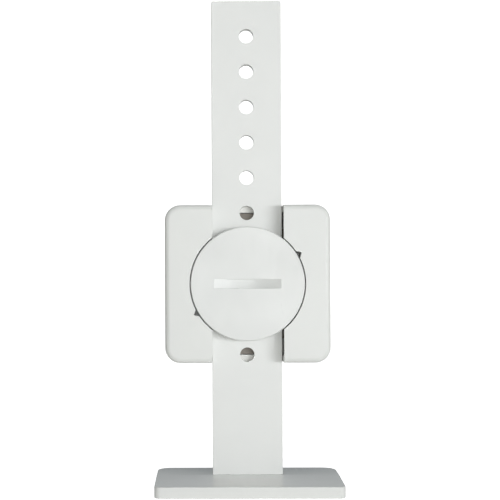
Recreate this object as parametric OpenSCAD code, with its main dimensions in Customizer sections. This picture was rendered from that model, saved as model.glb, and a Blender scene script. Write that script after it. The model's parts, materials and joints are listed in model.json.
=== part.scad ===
// Adjustable lock post: a flat perforated bar on a thin foot, with a hollow
// square housing that slides on the bar and is locked by a round coin-turned cap.
// Millimetres, +Z up, +Y to the back. The origin is the centre of the underside.

/* [Bar] */
// Width of the upright bar
bar_w = 24.7; // [24.4:0.1:25]
// Thickness of the upright bar
bar_t = 3; // [2.8:0.1:3]
// Number of index holes, counted down from the top
hole_n = 10; // [9:1:11]
// Diameter of each index hole
hole_d = 5; // [5:0.1:5.4]
// Distance from one index hole to the next
pitch = 12.5; // [12.2:0.1:12.6]
// Length of the bar above the foot
bar_l = 167.4; // [166:0.1:170]
// Radius on the bar's long edges
bar_edge = 0.2; // [0.2:0.1:0.8]

/* [Foot] */
// Width of the foot, side to side
foot_w = 64.5; // [64:0.1:72]
// Depth of the foot, front to back
foot_d = 34; // [33:0.1:36]
// Thickness of the foot moulding
foot_t = 4.7; // [4.4:0.1:5]
// How much the front of the foot's top falls towards its front edge
foot_fall = 0.75; // [0.1:0.05:0.8]
// How far the rubber pad stands below the foot
pad_proud = 0.3; // [0.3:0.1:0.6]

/* [Housing] */
// Width of the lock housing
body_w = 57.6; // [57.6:0.1:62]
// Height of the lock housing
body_h = 55.1; // [54.9:0.1:58]
// Radius of the housing's four corners
body_r = 5.4; // [4.5:0.1:6]
// Radius on the housing's front edges
body_f = 1.9; // [1:0.1:2.2]
// Depth of the front shell
shell_d = 14; // [14:0.1:15]
// Thickness of the rear cover
cover_t = 2.6; // [2.6:0.1:3]
// Wall thickness of the front shell
wall = 2.3; // [2.2:0.1:2.6]
// Number of the index hole that the housing stands at, counted from the top
at_hole = 8; // [2:1:9]

/* [Cap] */
// Radius of the lock cap
cap_r = 19.85; // [19.6:0.05:19.9]
// Radius of the recess that the cap sits in
recess_r = 20.2; // [20.15:0.05:20.4]
// Length of the coin slot
slot_l = 23.3; // [20:0.1:24]
// Width of the coin slot
slot_w = 3.3; // [2.8:0.1:3.6]
// Depth of the coin slot at its middle
slot_d = 2.1; // [1.6:0.1:2.2]
// Angle between the locked cap and its entry notches, in degrees
turn = 30; // [30:1:32]

/* [Hidden] */
$fn = 64;
e = 0.05;

z0 = pad_proud;                      // underside of the foot moulding
z1 = z0 + foot_t;                    // top of the foot moulding
bar_y = -foot_d / 2 + 19.3;          // front face of the bar
back_y = bar_y + bar_t;              // rear face of the bar
zt = z1 + bar_l;                     // top of the bar
zc = zt - pitch * at_hole;           // middle of the housing
sink = 7;                            // how far the bar lies behind the housing's front
front_y = bar_y - sink;              // front face of the housing
chan = bar_w / 2 + 0.165;            // half width of the channel
chan_x = 0.085;                      // middle of the channel: the bar runs along its left wall
chan_d = sink + bar_t + 0.1;         // depth of the channel
seat = 7.3;                          // depth of the ledge under the cap
skin = 2.4;                          // thickness of the housing's front face
heel = [10, 8];                      // half width and depth of the bar's heel
screw_x = 6;                         // heel screws, each side of the middle
screw_y = back_y + 3.2;
boss = [body_w / 2 - 6.9, body_h / 2 - 6.85];   // corner bosses
post = 16.5;                         // posts of the backing plate
peg_x = 9;                           // locating pegs under the bar

white = [0.90, 0.91, 0.89];
steel = [0.62, 0.63, 0.65];
brass = [0.80, 0.66, 0.36];
black = [0.13, 0.13, 0.14];
ivory = [0.93, 0.90, 0.82];

// the housing's own frame: X right, Y up, Z towards the front, 0 on its front face
module in_housing() { translate([0, front_y, zc]) rotate([90, 0, 0]) children(); }
// a flat layer from depth a to depth b behind the housing's front face
module layer(a, b) { translate([0, 0, -b]) linear_extrude(b - a) children(); }
module rect(w, h, r) {
    square([w - 2 * r, h], center = true);
    square([w, h - 2 * r], center = true);
    for (x = [-1, 1], y = [-1, 1])
        translate([x * (w / 2 - r), y * (h / 2 - r)]) circle(r);
}
module ring(a, b) { difference() { circle(b); circle(a); } }
// the wedge between two angles
module wedge(a, b) {
    polygon([[0, 0], 60 * [cos(a), sin(a)],
             60 * [cos((a + b) / 2), sin((a + b) / 2)], 60 * [cos(b), sin(b)]]);
}
module four(x, y) { for (i = [-1, 1], j = [-1, 1]) translate([i * x, j * y, 0]) children(); }

// a block of width w, height h and depth d, its upright corners rounded by r
// and the edge of its face at z = d rounded by f
module eased(w, h, d, r, f) {
    module side(l) {
        translate([-l / 2, 0]) square([l, d - f]);
        translate([-l / 2 + f, 0]) square([l - 2 * f, d]);
        for (x = [-1, 1]) translate([x * (l / 2 - f), d - f]) circle(f);
    }
    for (x = [-1, 1], y = [-1, 1])
        translate([x * (w / 2 - r), y * (h / 2 - r), 0]) rotate_extrude()
            intersection() {
                square([r, d]);
                union() {
                    square([r, d - f]);
                    square([r - f, d]);
                    translate([r - f, d - f]) circle(f);
                }
            }
    translate([0, h / 2 - r, 0]) rotate([90, 0, 0]) linear_extrude(h - 2 * r) side(w);
    translate([-(w / 2 - r), 0, 0]) rotate([90, 0, 90]) linear_extrude(w - 2 * r) side(h);
}

// a pan-head screw pointing to -Z, its seat at z = 0
module pan_screw(r, l, hr, hh) {
    difference() {
        union() {
            translate([0, 0, -l]) cylinder(r = r, h = l + e);
            rotate_extrude() intersection() {
                square([hr, hh]);
                translate([0, hh - hr * 1.6]) circle(hr * 1.6);
            }
        }
        translate([-hr * 0.62, -0.22, hh - 0.75]) cube([hr * 1.24, 0.44, 2]);
        translate([-0.22, -hr * 0.62, hh - 0.75]) cube([0.44, hr * 1.24, 2]);
    }
}

// ---- stand ----------------------------------------------------------------

module foot_plan(inset = 0) {
    w = foot_w / 2 - inset;
    d = foot_d / 2 - inset;
    rf = 2.2 - inset;
    rb = 4.8 - inset;
    union() {
        translate([-w, -d + rf]) square([2 * w, 2 * d - rf - rb]);
        translate([-w + rf, -d]) square([2 * (w - rf), rf + 1]);
        translate([-w + rb, d - rb - 1]) square([2 * (w - rb), rb + 1]);
        for (x = [-1, 1]) {
            translate([x * (w - rf), -d + rf]) circle(rf);
            translate([x * (w - rb), d - rb]) circle(rb);
        }
    }
}

module foot() color(white) {
    difference() {
        intersection() {
            translate([0, 0, z0]) linear_extrude(foot_t) foot_plan();
            // side profile: level behind the bar's face, falling gently in front of it
            translate([-foot_w, 0, 0]) rotate([90, 0, 90]) linear_extrude(2 * foot_w)
                polygon([[-foot_d, z0 - 1], [foot_d, z0 - 1], [foot_d, z1], [bar_y, z1],
                         [-foot_d / 2, z1 - foot_fall], [-foot_d, z1 - foot_fall - 0.3]]);
        }
        // recess for the pad, and a deeper pocket for the steel plate
        translate([0, 0, z0 - 1]) linear_extrude(1.6) rect(60.2, 28.2, 2);
        translate([0, 0, z0]) linear_extrude(2.4) rect(57, 25, 1.5);
        // heel screws and locating pegs
        for (x = [-1, 1]) {
            translate([x * screw_x, screw_y, z0]) cylinder(r = 1.6, h = foot_t + 1);
            translate([x * peg_x, bar_y + bar_t / 2, z0]) cylinder(r = 1.2, h = foot_t + 1);
        }
    }
}

module foot_pad() color(black) {
    difference() {
        linear_extrude(z0 + 0.55) rect(59.8, 27.8, 1.9);
        // shallow grip grooves
        for (x = [-24, -16, -8, 8, 16, 24])
            translate([x - 0.5, -11, -1]) cube([1, 22, 1.25]);
    }
}

module ballast_plate() color(steel) {
    difference() {
        translate([0, 0, z0 + 0.6]) linear_extrude(1.7) rect(56.6, 24.6, 1.4);
        for (x = [-1, 1]) {
            translate([x * screw_x, screw_y, z0]) cylinder(r = 1.6, h = 5);
            translate([x * screw_x, screw_y, z0 + 0.58]) cylinder(r1 = 2.85, r2 = 1.5, h = 1.45);
            // room for the pegs' ends
            translate([x * peg_x, bar_y + bar_t / 2, z0]) cylinder(r = 1.5, h = 5);
        }
    }
}

module heel_screws() color(steel) {
    for (x = [-1, 1]) translate([x * screw_x, screw_y, z0 + 0.68]) difference() {
        union() {
            cylinder(r1 = 2.7, r2 = 1.4, h = 1.3);
            cylinder(r = 1.4, h = 8.6);
            translate([0, 0, 8.6]) cylinder(r1 = 1.4, r2 = 0.5, h = 1);
        }
        translate([-1.5, -0.25, -1]) cube([3, 0.5, 1.7]);
        translate([-0.25, -1.5, -1]) cube([0.5, 3, 1.7]);
    }
}

module upright_bar() color(white) {
    difference() {
        union() {
            intersection() {
                translate([0, bar_y + bar_t / 2, z1]) linear_extrude(bar_l)
                    rect(bar_w, bar_t, bar_edge);
                // front outline with eased top corners
                translate([0, back_y + 1, z1]) rotate([90, 0, 0]) linear_extrude(bar_t + 2)
                    union() {
                        translate([-bar_w / 2, 0]) square([bar_w, bar_l - 0.8]);
                        translate([-bar_w / 2 + 0.8, 0]) square([bar_w - 1.6, bar_l]);
                        for (x = [-1, 1]) translate([x * (bar_w / 2 - 0.8), bar_l - 0.8]) circle(0.8);
                    }
            }
            // heel behind the bar
            translate([-heel[0], 0, 0]) rotate([90, 0, 90]) linear_extrude(2 * heel[0])
                polygon([[back_y - 0.5, z1], [back_y + heel[1], z1], [back_y + heel[1], z1 + 3.5],
                         [back_y + 2.2, z1 + 13], [back_y - 0.5, z1 + 13]]);
            // locating pegs
            for (x = [-1, 1]) translate([x * peg_x, bar_y + bar_t / 2, z1 - 1.6])
                cylinder(r = 1.1, h = 2.6);
        }
        for (i = [1:hole_n]) translate([0, back_y + 1, zt - pitch * i]) rotate([90, 0, 0])
            cylinder(d = hole_d, h = bar_t + 2);
        for (x = [-1, 1]) translate([x * screw_x, screw_y, z1 - 1]) cylinder(r = 1.45, h = 7.4);
    }
}

// ---- housing --------------------------------------------------------------

// small V-shaped notches that let the cap's pips in
module entry_notches() {
    for (a = [turn, turn + 180]) rotate(a)
        polygon([[recess_r - 1, -2.2], [recess_r + 1.3, -0.15], [recess_r + 1.3, 0.15], [recess_r - 1, 2.2]]);
}

module track_sectors() {
    for (a = [0, 180]) intersection() {
        ring(recess_r - 1, 24.3);
        wedge(a - 10, a + turn + 7);
    }
}

module wings() {
    for (x = [-1, 1]) translate([chan_x + x * (chan + 30), 0]) square([60, 120], center = true);
}

module housing_front() color(white) in_housing() {
    difference() {
        union() {
            // outer skin and walls
            difference() {
                translate([0, 0, -shell_d]) eased(body_w, body_h, shell_d, body_r, body_f);
                layer(skin, shell_d + 1) rect(body_w - 2 * wall, body_h - 2 * wall, body_r - wall);
            }
            // side walls of the channel
            layer(skin - e, chan_d) for (x = [-1, 1])
                translate([chan_x + x * (chan + 0.9), 0])
                    square([1.8, body_h - 2 * wall + 2 * e], center = true);
            // round wall and ledge of the cap's recess
            layer(skin - e, seat + 1.6) intersection() { circle(recess_r + 1.85); wings(); }
            // posts for the backing plate, bosses for the rear cover
            four(post, post) layer(skin - e, chan_d + 0.05) circle(3);
            four(boss[0], boss[1]) layer(skin - e, shell_d) circle(3.3);
        }
        // channel, deeper in the end walls where the glide strips lie
        translate([chan_x, 0, 0]) layer(skin, chan_d) square([2 * chan, body_h + 2], center = true);
        // in the front face its left side is a lip that stands just over the bar's edge
        layer(-1, skin + e) translate([-bar_w / 2 + 0.07, -body_h / 2 - 1])
            square([chan_x + chan + bar_w / 2 - 0.07, body_h + 2]);
        // relief beside the bar, between the ends that guide it
        layer(skin, chan_d + 0.9) translate([chan_x + chan - 0.1, -body_h / 2 + wall])
            square([0.7, body_h - 2 * wall]);
        for (y = [-1, 1]) translate([chan_x, y * (body_h / 2 - wall / 2), 0])
            layer(-1, chan_d + 0.8) square([2 * chan, wall + 0.2], center = true);
        for (x = [-1, 1], y = [-1, 1]) translate([x * 8, y * (body_h / 2 - wall / 2), 0])
            layer(chan_d, chan_d + 2.6) circle(0.85);
        // recess, its two entry notches, and the room for the tracks
        layer(-1, seat) circle(recess_r);
        layer(-1, skin + 1) entry_notches();
        layer(skin, seat) track_sectors();
        // holes for screws and inserts
        four(post, post) layer(5.2, chan_d + 1) circle(1.3);
        four(boss[0], boss[1]) {
            layer(7.2, shell_d + 1) circle(1.4);
            layer(shell_d - 4.2, shell_d + 1) circle(2);
        }
    }
}

module housing_back() color(white) in_housing() {
    difference() {
        union() {
            translate([0, 0, -shell_d]) mirror([0, 0, 1]) eased(body_w, body_h, cover_t, body_r, 1.2);
            // lip that locates the cover in the shell
            layer(shell_d - 1.4, shell_d + e) {
                for (x = [-1, 1]) translate([x * (body_w / 2 - wall - 0.75), 0])
                    square([1.2, 26], center = true);
                for (y = [-1, 1]) translate([0, y * (body_h / 2 - wall - 0.75)])
                    square([28, 1.2], center = true);
            }
        }
        four(boss[0], boss[1]) {
            layer(shell_d - 1, shell_d + 10) circle(1.4);
            layer(shell_d + 1.1, shell_d + 10) circle(2.5);
        }
    }
}

module housing_screws() color(steel) in_housing() {
    four(boss[0], boss[1]) translate([0, 0, -shell_d - 1.15]) mirror([0, 0, 1])
        pan_screw(1.2, 7, 2.25, 1.3);
}

module thread_inserts() color(brass) in_housing() {
    four(boss[0], boss[1]) layer(shell_d - 4.1, shell_d - 0.1) difference() {
        circle(1.97);
        circle(1.25);
    }
}

module bayonet_tracks() color(ivory) in_housing() {
    for (a = [0, 180]) {
        // curved back
        layer(skin + 0.05, seat - 0.05) intersection() { ring(22.05, 24.1); wedge(a - 9, a + turn + 6); }
        // ledge in front of the pips, open at the entry notch
        layer(skin + 0.05, 4.3) intersection() { ring(recess_r + 0.1, 22.3); wedge(a - 9, a + turn - 4.4); }
        layer(skin + 0.05, 4.3) intersection() { ring(recess_r + 0.1, 22.3); wedge(a + turn + 4.4, a + turn + 6); }
        // end stops
        layer(4.2, seat - 0.05) intersection() { ring(recess_r + 0.1, 22.3); wedge(a - 9, a - 4.4); }
        layer(4.2, seat - 0.05) intersection() { ring(recess_r + 0.1, 22.3); wedge(a + turn + 4.4, a + turn + 6); }
    }
}

module glide_strips() color(ivory) in_housing() {
    for (y = [-1, 1]) translate([0, y * (body_h / 2 - wall / 2), 0]) {
        translate([chan_x, 0, 0])
            layer(chan_d - 0.05, chan_d + 0.75) square([2 * chan - 0.3, wall - 0.05], center = true);
        for (x = [-1, 1]) translate([8 * x, 0, 0]) layer(chan_d + 0.7, chan_d + 2.4) circle(0.8);
    }
}

module backing_plate() color(steel) in_housing() {
    difference() {
        layer(chan_d + 0.06, chan_d + 1.56) {
            rect(2 * post + 6, 2 * post + 6, 3);
            // tabs that reach behind the bar up to the end walls
            rect(24, body_h - 2 * wall - 0.5, 2);
        }
        layer(chan_d - 1, chan_d + 3) circle(3.2);
        four(post, post) layer(chan_d - 1, chan_d + 3) circle(1.35);
        for (x = [-1, 1]) translate([x * 2.6, -13, 0]) layer(chan_d - 1, chan_d + 3) circle(0.95);
    }
}

module plate_screws() color(steel) in_housing() {
    four(post, post) translate([0, 0, -chan_d - 1.58]) mirror([0, 0, 1]) pan_screw(1.25, 5.6, 2.3, 1.4);
}

module index_spring() color(steel) in_housing() {
    // leaf
    difference() {
        layer(chan_d + 1.6, chan_d + 2) union() {
            translate([-4.5, -16]) square([9, 16]);
            circle(4.5);
        }
        for (x = [-1, 1]) translate([x * 2.6, -13, 0]) layer(chan_d, chan_d + 3) circle(0.95);
    }
    // domed nose that rests in a hole of the bar
    intersection() {
        translate([0, 0, -chan_d - 1.5]) sphere(2.6);
        layer(0, chan_d + 1.65) circle(5);
    }
}

module spring_rivets() color(steel) in_housing() {
    for (x = [-1, 1]) translate([x * 2.6, -13, 0]) {
        layer(chan_d + 0.1, chan_d + 2.05) circle(0.9);
        translate([0, 0, -chan_d - 2.02]) mirror([0, 0, 1]) rotate_extrude() intersection() {
            square([1.7, 0.8]);
            translate([0, -1.4]) circle(2.2);
        }
    }
}

// ---- cap ------------------------------------------------------------------

module pressure_plate() color(steel) in_housing() {
    layer(4.75, 5.95) difference() {
        circle(12);
        circle(2.65);
        for (y = [-1, 1]) translate([0, 10.2 * y]) circle(1.3);
    }
}

module friction_pad() color(black) in_housing() {
    layer(5.95, 6.9) difference() {
        circle(11.95);
        circle(5.2);
        for (y = [-1, 1]) translate([0, 10.2 * y]) circle(1.35);
    }
}

// spring washer with three waves
washer = [5.3, 8.4, 0.3, 0.5];       // inner radius, outer radius, thickness, wave height
module wave_washer() color(steel) in_housing() {
    n = 72;
    p = [for (i = [0:n - 1]) let (a = 360 * i / n, h = -3.97 + washer[3] * cos(3 * a))
         for (q = [[0, -1], [1, -1], [1, 1], [0, 1]])
             [washer[q[0]] * cos(a), washer[q[0]] * sin(a), h + q[1] * washer[2] / 2]];
    f = [for (i = [0:n - 1]) let (j = (i + 1) % n) for (k = [0:3]) let (l = (k + 1) % 4)
         each [[4 * i + k, 4 * j + k, 4 * j + l], [4 * i + k, 4 * j + l, 4 * i + l]]];
    polyhedron(p, f);
}

module lock_cap() color(white) in_housing() {
    arc_r = (slot_l * slot_l / 4 + slot_d * slot_d) / (2 * slot_d);
    difference() {
        union() {
            translate([0, 0, -6.2]) rotate_extrude() union() {
                square([cap_r - 0.35, 6.2]);
                square([cap_r, 5.85]);
                translate([cap_r - 0.35, 5.85]) circle(0.35);
            }
            // V-shaped bayonet pips, in line with the coin slot
            layer(4.45, 6.1) for (a = [0, 180]) rotate(a)
                polygon([[cap_r - 0.6, -1.3], [recess_r + 1.05, -0.1], [recess_r + 1.05, 0.1], [cap_r - 0.6, 1.3]]);
        }
        // hollow underside, left full at the hub, the spigot and the drive pegs
        difference() {
            layer(3.2, 7) circle(17.6);
            layer(3, 3.9) circle(4.6);
            layer(3, 6.35) circle(2.6);
            for (y = [-1, 1]) translate([0, 10.2 * y, 0]) layer(3, 5.9) circle(1.2);
        }
        layer(5.96, 6.2) ring(2.1, 4);
        // coin slot with a round floor
        translate([0, slot_w / 2, arc_r - slot_d]) rotate([90, 0, 0]) cylinder(r = arc_r, h = slot_w, $fn = 180);
    }
}

module retaining_clip() color(steel) in_housing() {
    layer(5.98, 6.18) difference() {
        ring(2.13, 4.1);
        translate([0, -1.5]) square([6, 3]);
    }
}

foot();
foot_pad();
ballast_plate();
heel_screws();
upright_bar();
housing_front();
housing_back();
housing_screws();
thread_inserts();
bayonet_tracks();
glide_strips();
backing_plate();
plate_screws();
index_spring();
spring_rivets();
pressure_plate();
friction_pad();
wave_washer();
lock_cap();
retaining_clip();
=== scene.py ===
import json
import math

import bmesh
import bpy
from mathutils import Matrix, Vector


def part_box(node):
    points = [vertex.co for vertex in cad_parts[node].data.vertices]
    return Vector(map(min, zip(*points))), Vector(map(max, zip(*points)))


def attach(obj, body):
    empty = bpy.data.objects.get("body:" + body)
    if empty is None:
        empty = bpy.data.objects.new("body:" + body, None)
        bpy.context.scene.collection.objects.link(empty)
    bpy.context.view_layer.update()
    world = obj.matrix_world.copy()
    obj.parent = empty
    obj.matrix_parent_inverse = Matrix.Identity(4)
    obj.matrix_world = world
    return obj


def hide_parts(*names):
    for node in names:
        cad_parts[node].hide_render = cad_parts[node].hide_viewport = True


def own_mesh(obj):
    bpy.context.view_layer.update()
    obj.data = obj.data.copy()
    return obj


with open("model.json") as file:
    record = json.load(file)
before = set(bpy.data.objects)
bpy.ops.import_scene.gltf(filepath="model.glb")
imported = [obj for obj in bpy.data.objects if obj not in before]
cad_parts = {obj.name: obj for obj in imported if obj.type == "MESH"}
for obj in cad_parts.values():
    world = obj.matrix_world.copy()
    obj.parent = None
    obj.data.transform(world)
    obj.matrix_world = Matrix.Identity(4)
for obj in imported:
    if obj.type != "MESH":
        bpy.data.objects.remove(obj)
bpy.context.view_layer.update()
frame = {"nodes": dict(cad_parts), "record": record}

scene = bpy.context.scene
MM = 0.001

# ---------------------------------------------------------------------------
# Positions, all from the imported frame
# ---------------------------------------------------------------------------
bar_lo, bar_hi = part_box("upright_bar")
foot_lo, foot_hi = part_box("foot")
hf_lo, hf_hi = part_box("housing_front")
hb_lo, hb_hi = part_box("housing_back")
cap_lo, cap_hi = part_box("lock_cap")
FRONT = hf_lo[1]                      # front face of the housing
ZC = (hf_lo[2] + hf_hi[2]) / 2        # middle of the housing
BAR_Y = bar_lo[1]                     # front face of the bar
ZT = bar_hi[2]                        # top of the bar
Z1 = foot_hi[2]                       # top of the foot
PITCH = 12.5 * MM

# ---------------------------------------------------------------------------
# Materials
# ---------------------------------------------------------------------------


def nodes_of(name):
    m = bpy.data.materials.new(name)
    m.use_nodes = True
    nt = m.node_tree
    nt.nodes.clear()
    out = nt.nodes.new("ShaderNodeOutputMaterial")
    sh = nt.nodes.new("ShaderNodeBsdfPrincipled")
    nt.links.new(sh.outputs["BSDF"], out.inputs["Surface"])
    return m, nt, sh


def noise(nt, co, scale, detail=3.0, rough=0.5):
    n = nt.nodes.new("ShaderNodeTexNoise")
    n.inputs["Scale"].default_value = scale
    n.inputs["Detail"].default_value = detail
    n.inputs["Roughness"].default_value = rough
    nt.links.new(co, n.inputs["Vector"])
    return n.outputs["Fac"]


def ramp(nt, fac, stops):
    r = nt.nodes.new("ShaderNodeValToRGB")
    el = r.color_ramp.elements
    while len(el) < len(stops):
        el.new(0.5)
    for e, (p, c) in zip(el, stops):
        e.position = p
        e.color = (c[0], c[1], c[2], 1.0)
    nt.links.new(fac, r.inputs["Fac"])
    return r.outputs["Color"]


def math_node(nt, op, a, b=None, clamp=False):
    n = nt.nodes.new("ShaderNodeMath")
    n.operation = op
    n.use_clamp = clamp
    for i, v in enumerate((a, b)):
        if v is None:
            continue
        if isinstance(v, (int, float)):
            n.inputs[i].default_value = v
        else:
            nt.links.new(v, n.inputs[i])
    return n.outputs[0]


def maprange(nt, v, a, b, c, d):
    n = nt.nodes.new("ShaderNodeMapRange")
    n.inputs["From Min"].default_value = a
    n.inputs["From Max"].default_value = b
    n.inputs["To Min"].default_value = c
    n.inputs["To Max"].default_value = d
    nt.links.new(v, n.inputs["Value"])
    return n.outputs["Result"]


def coords(nt, scale=(1, 1, 1)):
    t = nt.nodes.new("ShaderNodeTexCoord")
    m = nt.nodes.new("ShaderNodeMapping")
    m.inputs["Scale"].default_value = scale
    nt.links.new(t.outputs["Object"], m.inputs["Vector"])
    return m.outputs["Vector"]


def bump(nt, height, strength, distance, chain=None):
    b = nt.nodes.new("ShaderNodeBump")
    b.inputs["Strength"].default_value = strength
    b.inputs["Distance"].default_value = distance
    nt.links.new(height, b.inputs["Height"])
    if chain is not None:
        nt.links.new(chain, b.inputs["Normal"])
    return b.outputs["Normal"]


def moulding(name, base, rough, grain=0.05, warm=0.012, coat=0.0):
    """Satin moulded plastic: cloudy flow variation, a fine spark-eroded grain and faint rub marks."""
    m, nt, sh = nodes_of(name)
    co = coords(nt)
    # slow colour drift from the moulding flow
    cloud = noise(nt, co, 38.0, 3.0, 0.55)
    lo = tuple(c * (1 - 0.014) for c in base)
    hi = (base[0] * (1 + warm), base[1] * (1 + warm * 0.9), base[2] * (1 + warm * 0.4))
    col = ramp(nt, cloud, [(0.3, lo), (0.7, hi)])
    # very small darker specks, as in recycled white resin
    v = nt.nodes.new("ShaderNodeTexVoronoi")
    v.inputs["Scale"].default_value = 420.0
    nt.links.new(co, v.inputs["Vector"])
    speck = maprange(nt, v.outputs["Distance"], 0.02, 0.07, 0.93, 1.0)
    mix = nt.nodes.new("ShaderNodeMix")
    mix.data_type = "RGBA"
    mix.blend_type = "MULTIPLY"
    mix.inputs["Factor"].default_value = 1.0
    nt.links.new(col, mix.inputs["A"])
    nt.links.new(speck, mix.inputs["B"])
    nt.links.new(mix.outputs["Result"], sh.inputs["Base Color"])
    # gloss varies with handling: rub marks run mostly upright
    rub = noise(nt, coords(nt, (1.0, 1.0, 0.12)), 900.0, 4.0, 0.6)
    patch = noise(nt, co, 70.0, 4.0, 0.5)
    r = maprange(nt, math_node(nt, "ADD", math_node(nt, "MULTIPLY", rub, 0.35), math_node(nt, "MULTIPLY", patch, 0.65)),
                 0.3, 0.7, rough - 0.05, rough + 0.06)
    nt.links.new(r, sh.inputs["Roughness"])
    fine = noise(nt, co, 5200.0, 2.0, 0.5)
    wave = noise(nt, co, 160.0, 2.0, 0.4)
    n1 = bump(nt, wave, 0.05, 0.0008)
    n2 = bump(nt, fine, grain, 0.00006, n1)
    nt.links.new(n2, sh.inputs["Normal"])
    sh.inputs["IOR"].default_value = 1.49
    sh.inputs["Specular IOR Level"].default_value = 0.5
    if coat:
        sh.inputs["Coat Weight"].default_value = coat
        sh.inputs["Coat Roughness"].default_value = 0.08
    return m


def steel(name, base, rough, stretch=(1, 1, 1), metal=1.0):
    m, nt, sh = nodes_of(name)
    co = coords(nt, stretch)
    g = noise(nt, co, 2400.0, 4.0, 0.6)
    c = noise(nt, coords(nt), 120.0, 4.0, 0.6)
    col = ramp(nt, c, [(0.3, tuple(b * 0.86 for b in base)), (0.7, tuple(min(1, b * 1.06) for b in base))])
    nt.links.new(col, sh.inputs["Base Color"])
    nt.links.new(maprange(nt, g, 0.3, 0.7, rough - 0.07, rough + 0.1), sh.inputs["Roughness"])
    nt.links.new(bump(nt, g, 0.12, 0.00004), sh.inputs["Normal"])
    sh.inputs["Metallic"].default_value = metal
    return m


def rubber(name, base):
    m, nt, sh = nodes_of(name)
    co = coords(nt)
    c = noise(nt, co, 260.0, 5.0, 0.65)
    col = ramp(nt, c, [(0.3, tuple(b * 0.8 for b in base)), (0.75, tuple(b * 1.5 for b in base))])
    nt.links.new(col, sh.inputs["Base Color"])
    nt.links.new(maprange(nt, c, 0.3, 0.7, 0.62, 0.82), sh.inputs["Roughness"])
    v = nt.nodes.new("ShaderNodeTexVoronoi")
    v.inputs["Scale"].default_value = 1900.0
    nt.links.new(co, v.inputs["Vector"])
    nt.links.new(bump(nt, v.outputs["Distance"], 0.25, 0.0001), sh.inputs["Normal"])
    sh.inputs["Specular IOR Level"].default_value = 0.35
    return m


WHITE = moulding("white_moulding", (0.806, 0.816, 0.796), 0.42)
BARM = moulding("bar_moulding", (0.830, 0.838, 0.822), 0.42)
FOOTM = moulding("foot_moulding", (0.800, 0.806, 0.790), 0.17, grain=0.02, coat=0.55)
CAPM = moulding("cap_moulding", (0.750, 0.760, 0.744), 0.31)
ACETAL = moulding("acetal", (0.80, 0.795, 0.765), 0.45)
ZINC = steel("zinc_steel", (0.58, 0.59, 0.60), 0.36, (1, 1, 0.08))
SCREW = steel("screw_steel", (0.62, 0.62, 0.61), 0.30)
SPRING = steel("spring_steel", (0.42, 0.42, 0.43), 0.28, (0.1, 1, 1))
# painted shade: the backing plate sits in the hollow housing behind the bar's holes and is given a dark colour so that
# it shows as the shade of that hollow
PLATE_PAINTED_SHADE = steel("dark_steel", (0.20, 0.18, 0.155), 0.50, metal=0.35)
BRASS = steel("insert_brass", (0.72, 0.55, 0.26), 0.30)
RUBBER = rubber("pad_rubber", (0.028, 0.028, 0.030))

LOOK = {
    "foot": FOOTM, "foot_pad": RUBBER, "ballast_plate": ZINC, "heel_screws": SCREW, "upright_bar": BARM,
    "housing_front": WHITE, "housing_back": WHITE, "housing_screws": SCREW, "thread_inserts": BRASS,
    "bayonet_tracks": ACETAL, "glide_strips": ACETAL, "backing_plate": PLATE_PAINTED_SHADE, "plate_screws": SCREW,
    "index_spring": SPRING, "spring_rivets": SCREW, "pressure_plate": ZINC, "friction_pad": RUBBER,
    "wave_washer": SPRING, "lock_cap": CAPM, "retaining_clip": SPRING,
}
for name, obj in frame["nodes"].items():
    obj.data.materials.clear()
    obj.data.materials.append(LOOK[name])

# ---------------------------------------------------------------------------
# Moulded pieces: the CAD shape with the small radii a mould leaves on its edges
# ---------------------------------------------------------------------------
body_of_node = {n: b for b, ns in frame["record"]["behaviour"]["bodies"].items() for n in ns}


def edge_angle(e):
    return e.calc_face_angle(0.0) if e.is_manifold else 0.0


def refined(node, mat, radius, segments=2, angle=28, pick=None):
    """A copy of a CAD node's surface with welded facets and eased edges. pick(middle, degrees) gives
    an edge past the angle its own radius in millimetres, 0 to leave it sharp, None to leave it smooth."""
    bm = bmesh.new()
    bm.from_mesh(frame["nodes"][node].data)
    bmesh.ops.remove_doubles(bm, verts=bm.verts, dist=2e-6)
    bmesh.ops.dissolve_limit(bm, angle_limit=math.radians(0.3), use_dissolve_boundaries=False,
                             verts=bm.verts, edges=bm.edges, delimit=set())
    weight = bm.edges.layers.float.new("bevel_weight_edge")
    for f in bm.faces:
        f.smooth = True
    for e in bm.edges:
        if edge_angle(e) > math.radians(angle):
            mid = (e.verts[0].co + e.verts[1].co) / 2
            r = radius if pick is None else pick(mid, math.degrees(edge_angle(e)))
            if r is None:
                continue
            e[weight] = r / radius
            e.smooth = r > 0
    me = bpy.data.meshes.new(node + "_moulded")
    bm.to_mesh(me)
    bm.free()
    me.materials.append(mat)
    o = bpy.data.objects.new(node + "_moulded", me)
    scene.collection.objects.link(o)
    v = o.modifiers.new("easing", "BEVEL")
    v.limit_method = "WEIGHT"
    v.width = radius * MM
    v.segments = segments
    v.use_clamp_overlap = False
    w = o.modifiers.new("normals", "WEIGHTED_NORMAL")
    w.mode = "FACE_AREA"
    w.weight = 80
    w.keep_sharp = True
    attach(o, body_of_node[node])
    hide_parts(node)
    return o


def on_foot(p, deg):
    """Finer edges in the shallow recess for the pad."""
    under = p.z < foot_lo[2] + 1.0 * MM and abs(p.x) < 31 * MM and abs(p.y) < 15 * MM
    return 0.08 if under else 0.30


def on_housing(p, deg):
    """Finer edges around the cap's recess and beside the bar than on the rest of the housing."""
    r = math.hypot(p.x, p.z - ZC) / MM
    return 0.06 if 19.2 < r < 22.0 or abs(p.x) < 13.6 * MM else 0.22


def on_bar(p, deg):
    """Finer edges on the index holes."""
    k = round((ZT - p.z) / PITCH)
    return 0.09 if math.hypot(p.x, p.z - (ZT - k * PITCH)) < 2.9 * MM and 1 <= k <= 10 else 0.15


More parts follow.
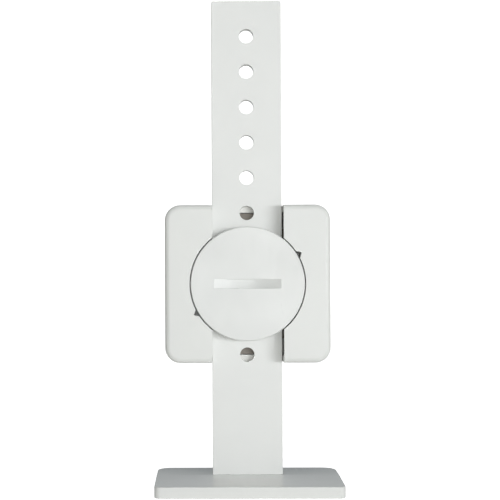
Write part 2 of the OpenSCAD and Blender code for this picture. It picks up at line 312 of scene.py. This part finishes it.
def on_cap(p, deg):
    """Only the long rims of the coin slot are eased: the cap's own rim is rounded in the CAD."""
    in_slot = p.y < FRONT + 2.5 * MM and abs(p.z - ZC) < 1.8 * MM and abs(p.x) < 12 * MM
    if not in_slot:
        return 0.0 if deg > 28 else None
    return 0.06 if p.y < FRONT + 0.02 * MM and abs(p.z - ZC) > 1.5 * MM and abs(p.x) < 11 * MM else 0.0


refined("foot", FOOTM, 0.30, pick=on_foot)
refined("upright_bar", BARM, 0.15, pick=on_bar)
refined("housing_front", WHITE, 0.22, pick=on_housing)
refined("housing_back", WHITE, 0.20)
refined("lock_cap", CAPM, 0.06, angle=12, pick=on_cap)
refined("foot_pad", RUBBER, 0.25)
refined("index_spring", SPRING, 0.02, angle=50)
refined("spring_rivets", SCREW, 0.03, angle=40)
# the waved washer gets a mesh of its own
wave = refined("wave_washer", SPRING, 0.02, angle=60)
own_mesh(wave)

# ---------------------------------------------------------------------------
# Stage, light and camera
# ---------------------------------------------------------------------------


def plane(name, verts):
    me = bpy.data.meshes.new(name)
    me.from_pydata(verts, [], [list(range(len(verts)))])
    me.update()
    o = bpy.data.objects.new(name, me)
    scene.collection.objects.link(o)
    return o


# seamless pale sweep: floor, curve and backdrop in one sheet
def sweep():
    prof = [(-1.6, 0.0)]
    y1, r = 0.55, 0.35
    prof.append((y1, 0.0))
    for i in range(1, 17):
        a = math.pi / 2 * i / 16
        prof.append((y1 + r * math.sin(a), r - r * math.cos(a)))
    prof.append((y1 + r, 1.7))
    xs = [-1.8, 1.8]
    verts = [(x, y, z) for (y, z) in prof for x in xs]
    faces = [(2 * i, 2 * i + 1, 2 * i + 3, 2 * i + 2) for i in range(len(prof) - 1)]
    me = bpy.data.meshes.new("floor")
    me.from_pydata(verts, [], faces)
    for p in me.polygons:
        p.use_smooth = True
    me.update()
    o = bpy.data.objects.new("floor", me)
    scene.collection.objects.link(o)
    return o


floor = sweep()
# Pale paper sweep. To the camera it shows as even white emission. To diffuse rays it is 0.9 paper near the floor with a
# painted glow that lights the object from below and fades out by 3 cm up, and dim grey paper higher up. To gloss rays
# it is a dark sheet with a painted bluish reflection, darker low down on the backdrop than higher up.
m, nt, sh = nodes_of("floor_paper")
sh.inputs["Base Color"].default_value = (0.9, 0.9, 0.9, 1)
sh.inputs["Roughness"].default_value = 0.9
sh.inputs["Specular IOR Level"].default_value = 0.1


def glow(shader, color, strength):
    em = nt.nodes.new("ShaderNodeEmission")
    if isinstance(color, tuple):
        em.inputs["Color"].default_value = color
    else:
        nt.links.new(color, em.inputs["Color"])
    em.inputs["Strength"].default_value = strength
    add = nt.nodes.new("ShaderNodeAddShader")
    nt.links.new(shader, add.inputs[0])
    nt.links.new(em.outputs["Emission"], add.inputs[1])
    return add.outputs["Shader"]


def choose(fac, a, b):
    mx = nt.nodes.new("ShaderNodeMixShader")
    nt.links.new(fac, mx.inputs["Fac"])
    nt.links.new(a, mx.inputs[1])
    nt.links.new(b, mx.inputs[2])
    return mx.outputs["Shader"]


lp = nt.nodes.new("ShaderNodeLightPath")
dark = nt.nodes.new("ShaderNodeBsdfDiffuse")
dark.inputs["Color"].default_value = (0.16, 0.17, 0.18, 1)
xyz = nt.nodes.new("ShaderNodeSeparateXYZ")
nt.links.new(coords(nt), xyz.inputs["Vector"])
height = maprange(nt, xyz.outputs["Z"], 0.14, 0.23, 0.0, 1.0)
# painted reflection: a bluish glow seen only by gloss rays, darker low on the backdrop and lighter higher up
painted_reflection_sky = ramp(nt, height, [(0.0, (0.215, 0.235, 0.245)), (1.0, (0.45, 0.475, 0.49))])
painted_reflection_to_gloss = glow(dark.outputs["BSDF"], painted_reflection_sky, 1.0)
seen_by_camera = glow(sh.outputs["BSDF"], (1.0, 1.0, 1.0, 1.0), 1.0)
low = maprange(nt, xyz.outputs["Z"], 0.004, 0.03, 0.0, 1.0)
paper = nt.nodes.new("ShaderNodeBsdfDiffuse")
nt.links.new(ramp(nt, low, [(0.0, (0.9, 0.9, 0.9)), (1.0, (0.22, 0.23, 0.24))]), paper.inputs["Color"])
# painted glow for diffuse rays: the floor near the object lights it from below, fading out by 3 cm up
painted_bounce_glow = ramp(nt, low, [(0.0, (0.205, 0.200, 0.185)), (1.0, (0.0, 0.0, 0.0))])
painted_glow_to_diffuse = glow(paper.outputs["BSDF"], painted_bounce_glow, 1.0)
out = [n for n in nt.nodes if n.type == "OUTPUT_MATERIAL"][0]
mixed = choose(lp.outputs["Is Camera Ray"], painted_glow_to_diffuse, seen_by_camera)
mixed = choose(lp.outputs["Is Glossy Ray"], mixed, painted_reflection_to_gloss)
nt.links.new(mixed, out.inputs["Surface"])
floor.data.materials.append(m)


def area(name, loc, target, size, power, color=(1, 1, 1), size_y=None):
    d = bpy.data.lights.new(name, "AREA")
    d.energy = power
    d.color = color
    d.shape = "RECTANGLE"
    d.size = size
    d.size_y = size_y or size
    o = bpy.data.objects.new(name, d)
    o.location = loc
    o.rotation_euler = (Vector(target) - Vector(loc)).to_track_quat("-Z", "Y").to_euler()
    scene.collection.objects.link(o)
    return o


MID = (0, 0, 0.085)
area("key_right", (0.67, -1.15, 0.105), MID, 0.72, 7.5, (0.962, 0.982, 1.0), 0.19)
area("fill_left", (-0.80, -0.60, 0.15), MID, 0.6, 0.10, (0.98, 0.99, 1.0), 0.6)
area("over", (0.0, -0.25, 1.2), (0, 0, 0), 0.5, 1.0, (0.98, 0.99, 1.0), 0.4)
area("front", (0.09, -1.6, 0.105), MID, 0.30, 3.6, (0.975, 0.990, 1.0), 0.19)

world = bpy.data.worlds.new("studio")
scene.world = world
world.use_nodes = True
wn = world.node_tree
bg = wn.nodes["Background"]
bg.inputs["Color"].default_value = (0.952, 0.962, 0.925, 1)
bg.inputs["Strength"].default_value = 0.27
lit = wn.nodes.new("ShaderNodeBackground")
lit.inputs["Color"].default_value = (1, 1, 1, 1)
lit.inputs["Strength"].default_value = 1.0
wl = wn.nodes.new("ShaderNodeLightPath")
wm = wn.nodes.new("ShaderNodeMixShader")
wo = [n for n in wn.nodes if n.type == "OUTPUT_WORLD"][0]
wn.links.new(wl.outputs["Is Camera Ray"], wm.inputs["Fac"])
wn.links.new(bg.outputs["Background"], wm.inputs[1])
wn.links.new(lit.outputs["Background"], wm.inputs[2])
wn.links.new(wm.outputs["Shader"], wo.inputs["Surface"])

F_PX = 1075.4
D = 0.380
PX, PY = 207.0, 280.0                 # where lines running straight back vanish
YAW = math.radians(-0.8)
ROLL = math.radians(0.25)
cam = bpy.data.cameras.new("camera")
cam.sensor_width = 36.0
cam.lens = 36.0 * F_PX / 500.0
cam.clip_start = 0.01
cam.clip_end = 20
cam.shift_x = (249.5 - PX - F_PX * math.tan(YAW)) / 500.0
cam.shift_y = (PY - 249.5) / 500.0
cam.dof.use_dof = False
cam_obj = bpy.data.objects.new("camera", cam)
scene.collection.objects.link(cam_obj)
cx, cz = -39.5 / 2.83 * MM, ZC + (283.5 - PY) / 2.83 * MM
cam_obj.matrix_world = (
    Matrix.Translation((cx, BAR_Y - D, cz))
    @ Matrix.Rotation(-YAW, 4, "Z")
    @ Matrix.Rotation(math.radians(90), 4, "X")
    @ Matrix.Rotation(-ROLL, 4, "Z")
)
scene.camera = cam_obj
scene.view_settings.view_transform = "Standard"
scene.view_settings.look = "None"
